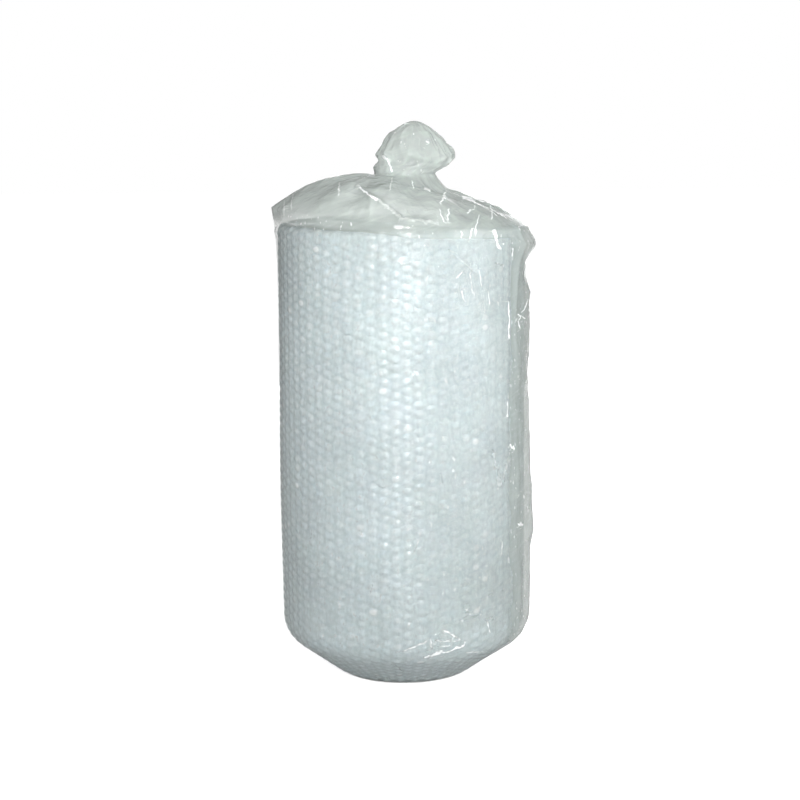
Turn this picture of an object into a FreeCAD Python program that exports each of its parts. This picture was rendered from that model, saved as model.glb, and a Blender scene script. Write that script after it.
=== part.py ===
"""A coreless roll of bubble film that stands in a clear film bag, gathered and knotted at its mouth.

Two pieces lie in one frame, in millimetres: +Z runs up the roll, +X to the right of its front, which faces
-Y, and the origin is the centre of the flat foot that the bag stands on.

bubble_roll  the wound film: laps round an open eye, columns of bubbles round the wall, a crushed lower edge
film_bag     the film bag: foot, wall with its slack pleat, standing crease, sagging shoulder, neck and knot
"""

import FreeCAD, Part

import math
import os

App = FreeCAD
doc = App.newDocument("bubble_wrap_roll")

# Driving dimensions, each alias with its value in millimetres, degrees or a plain count
DIMENSIONS = {
    # The wound roll: its wall at the valleys between the bubble columns, its rim and its crushed lower edge
    "roll_height": 600.0,
    "roll_radius": 160.2,
    "rim_round": 11.0,
    "foot_radius": 90.0,
    "toe_height": 55.0,
    "toe_bend": 38.0,
    "bend_share": 0.4,
    "eye_radius": 27.0,
    # Laps of film, each drawn lap standing for five turns of film 4 mm thick
    "lap_pitch": 20.0,
    "lap_gap": 1.2,
    "lap_cover": 5.0,
    "mouth_width": 1.8,
    # Tail end of the film at the back, and the step down from it, which fades round the wall
    "tail_azimuth": 133.0,
    "tail_step": 1.8,
    "tail_spread": 16.0,
    # Columns of bubbles up the wall
    "column_count": 66.0,
    "column_width": 12.0,
    "column_crest": 5.0,
    "column_relief": 1.9,
    "column_ledge": 0.2,
    # The bag's film, drawn thicker than the real 0.08 mm so that it is a solid
    "film_wall": 0.8,
    "film_clearance": 0.8,
    # Slack waves of the bag's wall, whose phase turns with the height, and the pleat on the right
    "wall_slack": 1.6,
    "slack_count": 3.0,
    "slack_azimuth": 60.0,
    "slack_turn_height": 1030.0,
    "pleat_depth": 5.0,
    "pleat_azimuth": 0.0,
    "pleat_spread": 16.0,
    "pleat_wave": 346.0,
    "pleat_wave_share": 0.25,
    # Standing crease above the roll's top, lower on the right, with a pointed ear on the left
    "crease_rise": 7.0,
    "crease_tilt": 13.0,
    "ear_reach": 6.0,
    "ear_azimuth": 180.0,
    "ear_spread": 12.0,
    "ear_drop": 60.0,
    # Puffed ear on the right, its middle at a drop below the crease
    "puff_reach": 11.0,
    "puff_azimuth": -14.0,
    "puff_spread": 22.0,
    "puff_drop": 30.0,
    "puff_rise": 22.0,
    # Shoulder of the bag, which rises from the crease to the neck and sags on the right
    "shoulder_rise": 55.0,
    "shoulder_power": 2.25,
    "shoulder_sag": 0.46,
    "sag_power": 7.0,
    "gather_count": 11.0,
    "gather_depth": 4.0,
    # Neck and knot, both off the axis to the right
    "neck_radius": 40.0,
    "neck_offset": 5.2,
    "knot_radius": 51.0,
    "knot_rise": 68.0,
    "knot_offset": 17.6,
    "knot_flatness": 0.8,
    "knot_fold_count": 7.0,
    "knot_fold_depth": 3.2,
    "knot_twist": 50.0,
}

# Points round one ring of the bag, five to a gather
RING_POINTS = 55
# Places of the rings: up the plain wall, through the puffed ear, and over the shoulder
WALL_SHARES = (1 / 3, 2 / 3)
PUFF_PARTS = (-1.8, -0.9, -0.3)
SHOULDER_SHARES = (0.08, 0.22, 0.42, 0.64, 0.84)
# Rings of the knot above the neck, each with its share of the knot's rise, offset and radius
KNOT_RINGS = (
    (0.09, 0.51, 0.85),
    (0.18, 0.91, 0.95),
    (0.28, 1.11, 0.99),
    (0.40, 1.01, 1.00),
    (0.62, 0.99, 0.82),
    (0.79, 0.99, 0.62),
    (0.91, 1.02, 0.36),
    (0.99, 0.99, 0.11),
)


def make_sheet():
    """Spreadsheet with one row for each driving dimension."""
    table = doc.addObject("Spreadsheet::Sheet", "Dimensions")
    for row, (alias, value) in enumerate(DIMENSIONS.items(), start=1):
        table.set(f"A{row}", alias)
        table.set(f"B{row}", str(value))
        table.setAlias(f"B{row}", alias)
    doc.recompute()
    return table


sheet = make_sheet()


def size(alias):
    """Value of one driving dimension."""
    return float(sheet.get(alias))


def cell(alias):
    """Expression that reads one driving dimension."""
    return f"{sheet.Name}.{alias}"


def feature(name, shape):
    """Document object that holds a shape worked out in code."""
    item = doc.addObject("Part::Feature", name)
    item.Shape = shape
    return item


def polar(radius, angle, height, shift=0.0, flatness=1.0):
    """Point at a radius and an azimuth in degrees about an axis shifted along X."""
    turn = math.radians(angle)
    return App.Vector(shift + radius * math.cos(turn), flatness * radius * math.sin(turn), height)


# Outline of the crushed lower edge

BAG_RADIUS = size("roll_radius") + size("column_relief") + size("film_clearance") + size("film_wall")


def toe_corner():
    """Slope of the crushed edge and the two heights at which its bend meets the cone and the wall."""
    slope = math.atan2(size("toe_height"), BAG_RADIUS - size("foot_radius"))
    reach = size("toe_bend") * math.tan((math.pi / 2 - slope) / 2)
    return slope, size("toe_height") - reach * math.sin(slope), size("toe_height") + reach


TOE_SLOPE, CONE_TOP, WALL_START = toe_corner()


def wall_radius(height):
    """Radius of the bag's plain wall: a cone up from the foot, a round bend, then an upright wall."""
    if height <= CONE_TOP:
        return size("foot_radius") + height / math.tan(TOE_SLOPE)
    if height >= WALL_START:
        return BAG_RADIUS
    bend = size("toe_bend")
    return BAG_RADIUS - bend + math.sqrt(bend**2 - (WALL_START - height) ** 2)


# The wound roll


def toe_levels():
    """Heights at the ends of the crushed edge's flats: foot, top of the cone, middle of the bend, wall."""
    return [0.0, CONE_TOP, CONE_TOP + (WALL_START - CONE_TOP) * size("bend_share"), WALL_START]


def roll_envelope():
    """Turned outline that bounds the roll: foot, crushed edge, wall and eased rim."""
    body = doc.addObject("PartDesign::Body", "RollEnvelope")
    sketch = body.newObject("Sketcher::SketchObject", "RollOutline")
    plane = next(item for item in body.Origin.OriginFeatures if item.Role == "XZ_Plane")
    sketch.AttachmentSupport = (plane, [""])
    sketch.MapMode = "FlatFace"
    low = size("film_wall")
    high = size("roll_height")
    rim = size("rim_round")
    valley = size("roll_radius") - size("column_ledge")
    inset = BAG_RADIUS - valley
    outside = BAG_RADIUS - size("film_wall") - size("film_clearance") / 2
    outline = [(0, low), (wall_radius(low) - inset, low)]
    outline += [(wall_radius(level) - inset, level) for level in toe_levels()[1:]]
    outline += [(outside, WALL_START), (outside, high - rim), (valley, high - rim)]
    outline += [(valley - rim, high), (0, high)]
    corners = [App.Vector(radius, height, 0) for radius, height in outline]
    following = corners[1:] + corners[:1]
    sketch.addGeometry([Part.LineSegment(start, end) for start, end in zip(corners, following)], False)
    doc.recompute()
    turned = body.newObject("PartDesign::Revolution", "RollTurned")
    turned.Profile = sketch
    turned.ReferenceAxis = (sketch, ["V_Axis"])
    turned.Angle = 360
    return body


def arc(start, middle, end):
    """Edge of a circular arc through three points given as pairs."""
    return Part.Arc(*(App.Vector(x, y, 0) for x, y in (start, middle, end))).toShape()


def line(start, end):
    """Straight edge between two points given as pairs."""
    return Part.LineSegment(App.Vector(*start, 0), App.Vector(*end, 0)).toShape()


def on_circle(radius, angle):
    """Pair at a radius and an angle in radians."""
    return radius * math.cos(angle), radius * math.sin(angle)


def column_edges(mouth):
    """The wall from the tail end once round: three flats to a column of bubbles, a valley between two."""
    count = int(size("column_count"))
    valley = size("roll_radius")
    crest = valley + size("column_relief")
    half = size("column_width") / 2 / valley
    half_crest = size("column_crest") / 2 / valley
    step = 2 * math.pi / count
    flush = valley * math.cos(step / 2 - half)
    start = (flush - size("tail_step"), 0.0)
    end = (flush, -mouth)
    corners = [start]
    for index in range(count):
        centre = step * (index + 0.5)
        drop = size("tail_step") * math.exp(-math.degrees(centre) / size("tail_spread"))
        corners += [on_circle(valley - drop, centre - half), on_circle(crest - drop, centre - half_crest)]
        corners += [on_circle(crest - drop, centre + half_crest), on_circle(valley - drop, centre + half)]
    corners.append(end)
    return [line(here, there) for here, there in zip(corners, corners[1:])], start, end


def spiral_edges(last, half_turns, cut):
    """Semicircles that wind inwards from the tail end, each half a pitch smaller, the first cut short."""
    pitch = size("lap_pitch")
    edges = []
    for index in range(half_turns):
        side = 1 if index % 2 == 0 else -1
        outer = last - index * pitch / 2
        inner = outer - pitch / 2
        radius = (outer + inner) / 2
        centre = side * (outer - inner) / 2
        end = (side * outer, 0.0)
        if index == 0 and cut > 0:
            end = (centre + math.sqrt(radius**2 - cut**2), -cut)
            first = end
        elif index == 0:
            first = end
        edges.append(arc(end, (centre, -side * radius), (-side * inner, 0.0)))
    return edges, first, (-side * inner, 0.0)


def lap_section():
    """Face of the wound film: columned wall, spiral gap from the tail end inwards, slit into the eye."""
    gap = size("lap_gap")
    mouth = size("mouth_width")
    eye = size("eye_radius")
    last = size("roll_radius") - size("lap_cover") - gap
    half_turns = int((last - eye - size("lap_cover")) / (size("lap_pitch") / 2))
    wall, wall_start, wall_end = column_edges(mouth)
    outer, outer_first, outer_last = spiral_edges(last + gap, half_turns, mouth)
    inner, inner_first, inner_last = spiral_edges(last, half_turns, 0.0)
    side = math.copysign(1, inner_last[0])
    corner = (outer_last[0], -side * mouth)
    lip = (side * math.sqrt(eye**2 - mouth**2), -side * mouth)
    edges = wall + [line(wall_end, outer_first)] + outer
    edges += [line(outer_last, corner), line(corner, lip)]
    edges += [arc(lip, (-side * eye, 0.0), (side * eye, 0.0)), line((side * eye, 0.0), inner_last)]
    edges += inner[::-1] + [line(inner_first, wall_start)]
    face = Part.Face(Part.Wire(edges))
    face.rotate(App.Vector(0, 0, 0), App.Vector(0, 0, 1), size("tail_azimuth"))
    return face


def bubble_roll():
    """The wound film: its section drawn out over the roll's height and kept inside the turned outline."""
    envelope = roll_envelope()
    laps = doc.addObject("Part::Extrusion", "RollLaps")
    laps.Base = feature("LapSection", lap_section())
    laps.DirMode = "Custom"
    laps.Dir = App.Vector(0, 0, 1)
    laps.setExpression("LengthFwd", cell("roll_height"))
    laps.Solid = True
    roll = doc.addObject("Part::MultiCommon", "bubble_roll")
    roll.Shapes = [laps, envelope]
    roll.Label = "bubble_roll"
    return roll


# The film bag


def hill(angle, centre, spread):
    """Smooth hill round an azimuth, one at its centre, with angles in degrees."""
    away = (angle - centre + 180) % 360 - 180
    return math.exp(-((away / spread) ** 2))


def swing(angle):
    """Share that swings from one at azimuth 0 to zero at 180, with the angle in degrees."""
    return 0.5 + 0.5 * math.cos(math.radians(angle))


def crease_height():
    """Height of the standing crease where it is neither high nor low."""
    return size("roll_height") + size("crease_rise")


def puff_height():
    """Height of the middle of the puffed ear."""
    return crease_height() - size("puff_drop")


def neck_height():
    """Height of the neck."""
    return crease_height() + size("shoulder_rise")


def ring_at(place):
    """Corners of one ring: the places that a function gives for each azimuth in degrees."""
    return [place(360 * index / RING_POINTS) for index in range(RING_POINTS)]


def flat(corners):
    """Flat face of film inside its corners."""
    return Part.Face(Part.makePolygon(corners + corners[:1]))


def crease_level(angle):
    """Height of the standing crease, lowest on the right."""
    return crease_height() - size("crease_tilt") * math.cos(math.radians(angle))


def tilted(height, angle):
    """Height of a place on the wall, which follows the crease from the puffed ear up."""
    low = puff_height()
    if height <= low:
        return height
    return low + (crease_level(angle) - low) * (height - low) / (crease_height() - low)


def wall_place(height, angle, folded):
    """Place on the wall: the plain wall, and outside it the slack waves, the pleat and both ears."""
    level = tilted(height, angle)
    radius = wall_radius(height)
    if not folded:
        return polar(radius - size("film_wall"), angle, level)
    share = min(1.0, height / WALL_START)
    phase = size("slack_azimuth") + 360 * height / size("slack_turn_height")
    radius += size("wall_slack") * swing(size("slack_count") * angle + phase) * share
    wave = size("pleat_wave_share")
    fold = 1 - wave + wave * math.sin(2 * math.pi * height / size("pleat_wave"))
    radius += size("pleat_depth") * hill(angle, size("pleat_azimuth"), size("pleat_spread")) * fold * share
    puff = math.exp(-(((height - puff_height()) / size("puff_rise")) ** 2))
    radius += size("puff_reach") * puff * hill(angle, size("puff_azimuth"), size("puff_spread"))
    near_top = max(0.0, 1 - (crease_height() - height) / size("ear_drop")) ** 2
    radius += size("ear_reach") * near_top * hill(angle, size("ear_azimuth"), size("ear_spread"))
    return polar(radius, angle, level)


def shoulder_place(share, angle, folded):
    """Place on the shoulder, from the crease at share 0 to the neck at share 1."""
    start = wall_place(crease_height(), angle, folded)
    inset = 0.0 if folded else size("film_wall")
    rim = math.hypot(start.x, start.y)
    radius = rim + (size("neck_radius") - inset - rim) * share
    sag = size("shoulder_sag") * swing(angle)
    climb = (1 - sag) * (1 - (1 - share) ** size("shoulder_power")) + sag * share ** size("sag_power")
    height = start.z + (neck_height() - start.z) * climb - inset * (1 if share > 0 else 0)
    if folded:
        gathers = size("gather_count") * angle
        height += size("gather_depth") * 4 * share * (1 - share) * swing(gathers)
        radius *= 1 + 0.5 * size("gather_depth") / size("neck_radius") * (2 * swing(gathers) - 1) * share**3
    return polar(radius, angle, height, size("neck_offset") * share**2)


def knot_place(lift, lean, girth, angle):
    """Place on the knot, at shares of its rise, offset and radius; its folds turn as they climb."""
    radius = size("knot_radius") * girth
    folds = math.cos(math.radians(size("knot_fold_count") * angle + size("knot_twist") * lift))
    radius += size("knot_fold_depth") * folds * girth * min(1.0, 4 * lift)
    height = neck_height() + size("knot_rise") * lift
    return polar(radius, angle, height, size("knot_offset") * lean, size("knot_flatness"))


def band(lower, upper):
    """Film between two rings, creased into pairs of flats that lean the same way."""
    faces = []
    for index in range(RING_POINTS):
        after = (index + 1) % RING_POINTS
        faces.append(flat([lower[index], lower[after], upper[after]]))
        faces.append(flat([lower[index], upper[after], upper[index]]))
    return faces


def closed_skin(rings):
    """Solid inside a row of rings, closed by a flat foot and a flat crown."""
    faces = [flat(rings[0]), flat(rings[-1])]
    for lower, upper in zip(rings, rings[1:]):
        faces += band(lower, upper)
    joined = Part.makeCompound(faces)
    joined.sewShape()
    return Part.Solid(Part.Shell(joined.Faces))


def wall_levels():
    """Heights of the wall's rings from the foot to the crease."""
    puff = [puff_height() + size("puff_rise") * part for part in PUFF_PARTS]
    plain = [WALL_START + (puff[0] - WALL_START) * share for share in WALL_SHARES]
    return toe_levels() + plain + puff + [crease_height()]


def bag_outside():
    """Outer skin of the bag: foot, wall, shoulder, neck and knot."""
    rings = [ring_at(lambda angle, level=level: wall_place(level, angle, True)) for level in wall_levels()]
    for share in SHOULDER_SHARES + (1.0,):
        rings.append(ring_at(lambda angle, share=share: shoulder_place(share, angle, True)))
    for ring in KNOT_RINGS:
        rings.append(ring_at(lambda angle, ring=ring: knot_place(*ring, angle)))
    return closed_skin(rings)


def bag_inside():
    """Inner skin of the bag, without the folds: the room that the roll stands in."""
    levels = [size("film_wall")] + toe_levels()[1:] + [crease_height()]
    rings = [ring_at(lambda angle, level=level: wall_place(level, angle, False)) for level in levels]
    for share in SHOULDER_SHARES + (1.0,):
        rings.append(ring_at(lambda angle, share=share: shoulder_place(share, angle, False)))
    return closed_skin(rings)


def film_bag():
    """The bag: its outer skin less the room inside it."""
    outside = feature("BagOutside", bag_outside())
    inside = feature("BagInside", bag_inside())
    bag = doc.addObject("Part::Cut", "film_bag")
    bag.Base = outside
    bag.Tool = inside
    bag.Label = "film_bag"
    return bag


def check_and_export(nodes):
    """Stop on a failed object or shape, then write one STEP file for each sub-part."""
    doc.recompute()
    for item in doc.Objects:
        if "Invalid" in item.State or "Error" in item.State:
            raise RuntimeError(f"{item.Name} did not recompute: {item.State}")
    os.makedirs("parts", exist_ok=True)
    for node in nodes:
        if node.Shape.isNull() or not node.Shape.isValid() or len(node.Shape.Solids) != 1:
            raise RuntimeError(f"{node.Label} is not one valid solid")
        node.Shape.Solids[0].exportStep(os.path.join("parts", f"{node.Label}.step"))
        box = node.Shape.BoundBox
        print(f"{node.Label}: {node.Shape.Volume / 1e6:.4f} litres, X {box.XMin:.1f} to {box.XMax:.1f},"
              f" Y {box.YMin:.1f} to {box.YMax:.1f}, Z {box.ZMin:.1f} to {box.ZMax:.1f}")


check_and_export([bubble_roll(), film_bag()])
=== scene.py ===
"""Looks of a roll of bubble film that stands in a clear film bag, gathered and knotted on top.

Metres throughout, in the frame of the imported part: +Z up the roll, +X to the right of its front, which faces -Y.
"""

import logging
import math
from dataclasses import dataclass, field
from enum import Enum

import bpy
import numpy as np
from mathutils import Euler, Matrix, Vector

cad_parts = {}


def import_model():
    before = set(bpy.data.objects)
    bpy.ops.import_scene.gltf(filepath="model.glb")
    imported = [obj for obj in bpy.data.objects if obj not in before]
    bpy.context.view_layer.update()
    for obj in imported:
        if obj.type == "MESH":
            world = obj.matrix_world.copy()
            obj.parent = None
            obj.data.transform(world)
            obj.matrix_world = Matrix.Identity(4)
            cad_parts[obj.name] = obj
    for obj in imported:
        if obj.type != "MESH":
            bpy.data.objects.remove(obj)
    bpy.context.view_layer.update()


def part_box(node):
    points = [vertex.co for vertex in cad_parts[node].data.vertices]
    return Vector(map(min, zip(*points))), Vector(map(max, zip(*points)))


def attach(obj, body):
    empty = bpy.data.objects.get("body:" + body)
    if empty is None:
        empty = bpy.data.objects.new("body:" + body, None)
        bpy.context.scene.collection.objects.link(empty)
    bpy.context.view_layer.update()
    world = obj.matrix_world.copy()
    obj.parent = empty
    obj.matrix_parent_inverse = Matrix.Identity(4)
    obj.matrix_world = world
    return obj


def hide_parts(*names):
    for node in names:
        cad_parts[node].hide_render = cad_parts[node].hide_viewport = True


LOG = logging.getLogger("bubble_wrap_roll")
MM = 0.001
TURN = 2 * math.pi


class Level(Enum):
    """Which end of the wound film a mesh belongs to."""

    TOP = 1
    BOTTOM = -1


class PatchNoise:
    """Smooth seeded noise that closes on itself round the object.

    A lattice of random values from -1 to 1 is laid over the surface, and between its points the value is eased from
    one to the next by three t squared less two t cubed.
    """

    def __init__(self, seed: int) -> None:
        """Start the random draws.

        Args:
            seed: Seed of every draw that this noise makes.
        """
        self.draws = np.random.default_rng(seed)

    def layer(self, around: np.ndarray, along: np.ndarray, cells: tuple[int, int]) -> np.ndarray:
        """One layer of noise.

        Args:
            around: Share of a turn, periodic with one.
            along: Share of the way up, from 0 to 1.
            cells: Lattice cells round and along.

        Returns:
            Values from -1 to 1, shaped as the arguments.
        """
        lattice = self.draws.uniform(-1, 1, (cells[0], cells[1] + 2))
        column = np.mod(around, 1.0) * cells[0]
        row = np.clip(along, 0, 1) * cells[1]
        left = np.floor(column).astype(int)
        low = np.floor(row).astype(int)
        across = column - left
        up = row - low
        across = across * across * (3 - 2 * across)
        up = up * up * (3 - 2 * up)
        left = left % cells[0]
        right = (left + 1) % cells[0]
        lower = lattice[left, low] * (1 - across) + lattice[right, low] * across
        upper = lattice[left, low + 1] * (1 - across) + lattice[right, low + 1] * across
        return lower * (1 - up) + upper * up

    def creases(self, around: np.ndarray, along: np.ndarray, cells: tuple[int, int], octaves: int) -> np.ndarray:
        """Sharp crests with round hollows, as in crumpled film.

        Each octave is one less the size of its noise, twice as fine and half as strong as the one before.

        Args:
            around: Share of a turn, periodic with one.
            along: Share of the way up, from 0 to 1.
            cells: Lattice cells of the first octave.
            octaves: Number of octaves.

        Returns:
            Values from 0 to about 1.
        """
        total = np.zeros(np.broadcast(around, along).shape)
        weight = 0.0
        for octave in range(octaves):
            fine = 2**octave
            strength = 0.5**octave
            total = total + strength * (1 - np.abs(self.layer(around, along, (cells[0] * fine, cells[1] * fine)))) ** 2
            weight += strength
        return total / weight


def hill(angle: np.ndarray, centre: float, spread: float) -> np.ndarray:
    """Smooth hill round an azimuth, one at its centre; all angles in degrees."""
    away = np.mod(angle - centre + 180, 360) - 180
    return np.exp(-((away / spread) ** 2))


def pleat(angle: np.ndarray, centre: np.ndarray, spread: float) -> np.ndarray:
    """Sharp fold round an azimuth that falls off as e to the minus distance; all angles in degrees."""
    away = np.mod(angle - centre + 180, 360) - 180
    return np.exp(-np.abs(away) / spread)


def ramp(value: np.ndarray, start: float, end: float) -> np.ndarray:
    """Eased step from 0 at the start to 1 at the end."""
    share = np.clip((value - start) / (end - start), 0, 1)
    return share * share * (3 - 2 * share)


def add_mesh(name: str, points: np.ndarray, faces: list, shades: dict[str, np.ndarray]) -> bpy.types.Object:
    """Object at the origin with a smooth mesh, without the points that no face uses.

    Args:
        name: Name of the object.
        points: Corners, one row each.
        faces: Arrays of corner numbers, each array with one row for each face.
        shades: Numbers for each corner that the finish reads, by name.

    Returns:
        The linked object.
    """
    used = np.unique(np.concatenate([block.ravel() for block in faces]))
    number = np.zeros(len(points), int)
    number[used] = np.arange(len(used))
    rows = []
    for block in faces:
        rows += number[block].tolist()
    mesh = bpy.data.meshes.new(name)
    mesh.from_pydata(points[used].tolist(), [], rows)
    mesh.shade_smooth()
    for shade, values in shades.items():
        layer = mesh.attributes.new(shade, "FLOAT", "POINT")
        layer.data.foreach_set("value", np.asarray(values, np.float32).ravel()[used])
    mesh.update()
    piece = bpy.data.objects.new(name, mesh)
    bpy.context.scene.collection.objects.link(piece)
    return piece


def ring_strip(lower: np.ndarray, upper: np.ndarray) -> np.ndarray:
    """Quads between two closed rings of corner numbers, with outward faces when the rings run anticlockwise."""
    return np.stack([lower, np.roll(lower, -1), np.roll(upper, -1), upper], axis=-1).reshape(-1, 4)


@dataclass(frozen=True)
class Outline:
    """Upright outline shared by the roll and the bag: a crushed lower edge, then a plain wall.

    The edge is a cone that leans in to the foot, joined to the wall by a round bend.
    """

    radius: float
    foot_radius: float = 90 * MM
    toe_height: float = 55 * MM
    bend: float = 38 * MM

    def slope(self) -> float:
        """Lean of the cone above the floor, in radians."""
        return math.atan2(self.toe_height, self.radius - self.foot_radius)

    def wall_start(self) -> float:
        """Height at which the bend meets the wall."""
        return self.toe_height + self.bend * math.tan((math.pi / 2 - self.slope()) / 2)

    def radius_at(self, height: np.ndarray) -> np.ndarray:
        """Radius of the outline at some heights."""
        slope = self.slope()
        start = self.wall_start()
        cone_top = self.toe_height - (start - self.toe_height) * math.sin(slope)
        cone = self.foot_radius + height / math.tan(slope)
        inside = np.clip(self.bend**2 - (start - height) ** 2, 0, None)
        bend = self.radius - self.bend + np.sqrt(inside)
        return np.where(height < cone_top, cone, np.where(height < start, bend, self.radius))


class Graph:
    """Shader tree that nodes are added to in one call each."""

    def __init__(self, tree: bpy.types.NodeTree) -> None:
        """Keep the tree.

        Args:
            tree: Tree of a material, a world or a group.
        """
        self.tree = tree

    def add(self, kind: str, links: dict | None = None, values: dict | None = None, **settings) -> bpy.types.Node:
        """New node.

        Args:
            kind: Type of the node.
            links: Output sockets by the name or number of the input that each feeds.
            values: Plain values by the name or number of their input.
            **settings: Properties of the node itself.

        Returns:
            The node.
        """
        node = self.tree.nodes.new(kind)
        for name, setting in settings.items():
            setattr(node, name, setting)
        for name, value in (values or {}).items():
            node.inputs[name].default_value = value
        for name, output in (links or {}).items():
            self.tree.links.new(output, node.inputs[name])
        return node

    def math(self, operation: str, *terms, clamp: bool = False) -> bpy.types.NodeSocket:
        """Output of a math node whose terms are sockets or numbers."""
        node = self.add("ShaderNodeMath", operation=operation, use_clamp=clamp)
        for index, term in enumerate(terms):
            if isinstance(term, bpy.types.NodeSocket):
                self.tree.links.new(term, node.inputs[index])
            else:
                node.inputs[index].default_value = term
        return node.outputs[0]

    def mask(self, name: str) -> bpy.types.NodeSocket:
        """Number that the mesh carries under a name."""
        return self.add("ShaderNodeAttribute", attribute_name=name).outputs["Fac"]

    def blend(self, share: bpy.types.NodeSocket, first, second) -> bpy.types.NodeSocket:
        """Colour between two colours, each a socket or three numbers."""
        node = self.add("ShaderNodeMix", data_type="RGBA", links={"Factor": share})
        for socket, colour in ((node.inputs[6], first), (node.inputs[7], second)):
            if isinstance(colour, bpy.types.NodeSocket):
                self.tree.links.new(colour, socket)
            else:
                socket.default_value = (*colour, 1)
        return node.outputs[2]


class Effect(Enum):
    """Shader groups that both finishes share."""

    MOTTLE = "mottle"
    CRUMPLE = "crumple"

    def group(self) -> bpy.types.NodeTree:
        """The group, built the first time that it is asked for."""
        known = bpy.data.node_groups.get(self.value)
        if known:
            return known
        group = bpy.data.node_groups.new(self.value, "ShaderNodeTree")
        group.interface.new_socket("Vector", in_out="INPUT", socket_type="NodeSocketVector")
        for name in ("Scale", "Low", "High"):
            group.interface.new_socket(name, in_out="INPUT", socket_type="NodeSocketFloat")
        group.interface.new_socket("Value", in_out="OUTPUT", socket_type="NodeSocketFloat")
        graph = Graph(group)
        entry = graph.add("NodeGroupInput")
        links = {"Vector": entry.outputs["Vector"], "Scale": entry.outputs["Scale"]}
        if self is Effect.MOTTLE:
            noise = graph.add("ShaderNodeTexNoise", links, {"Detail": 4.0})
            ends = (0.32, 0.68)
        else:
            warp = graph.add("ShaderNodeTexNoise", links, {"Detail": 3.0})
            centred = graph.add("ShaderNodeVectorMath", {0: warp.outputs["Color"]}, {1: (0.5,) * 3}, operation="SUBTRACT")
            moved = graph.add(
                "ShaderNodeVectorMath",
                {0: centred.outputs[0], 2: entry.outputs["Vector"]},
                {1: (0.03,) * 3},
                operation="MULTIPLY_ADD",
            )
            noise = graph.add(
                "ShaderNodeTexNoise",
                {"Vector": moved.outputs[0], "Scale": entry.outputs["Scale"]},
                {"Detail": 3.0, "Roughness": 0.55},
                noise_type="RIDGED_MULTIFRACTAL",
                normalize=True,
            )
            ends = (0.0, 1.0)
        result = graph.add(
            "ShaderNodeMapRange",
            {"Value": noise.outputs["Fac"], "To Min": entry.outputs["Low"], "To Max": entry.outputs["High"]},
            {"From Min": ends[0], "From Max": ends[1]},
        )
        graph.add("NodeGroupOutput", {"Value": result.outputs["Result"]})
        return group

    def place(
        self, graph: Graph, vector: bpy.types.NodeSocket, scale: float, low: float = 0.0, high: float = 1.0
    ) -> bpy.types.NodeSocket:
        """Put the group into a material.

        Args:
            graph: Tree of the material.
            vector: Place on the object.
            scale: Features in a metre.
            low: Value in the hollows.
            high: Value on the crests.

        Returns:
            The group's value.
        """
        node = graph.add("ShaderNodeGroup", node_tree=self.group())
        graph.tree.links.new(vector, node.inputs["Vector"])
        for name, value in (("Scale", scale), ("Low", low), ("High", high)):
            node.inputs[name].default_value = value
        return node.outputs["Value"]


def stretched(graph: Graph, vector: bpy.types.NodeSocket, scale: tuple[float, float, float]) -> bpy.types.NodeSocket:
    """Place on the object, scaled along each axis."""
    return graph.add("ShaderNodeVectorMath", {0: vector}, {1: scale}, operation="MULTIPLY").outputs[0]


def rising(graph: Graph, vector: bpy.types.NodeSocket, rise: float = 17.0) -> bpy.types.NodeSocket:
    """Place on the object, drawn out along lines that climb to the right of the front by a rise in degrees."""
    node = graph.add(
        "ShaderNodeMapping",
        {"Vector": vector},
        {"Rotation": (0, -math.radians(rise), 0), "Scale": (5.0, 5.0, 0.6)},
        vector_type="TEXTURE",
    )
    return node.outputs[0]


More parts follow.
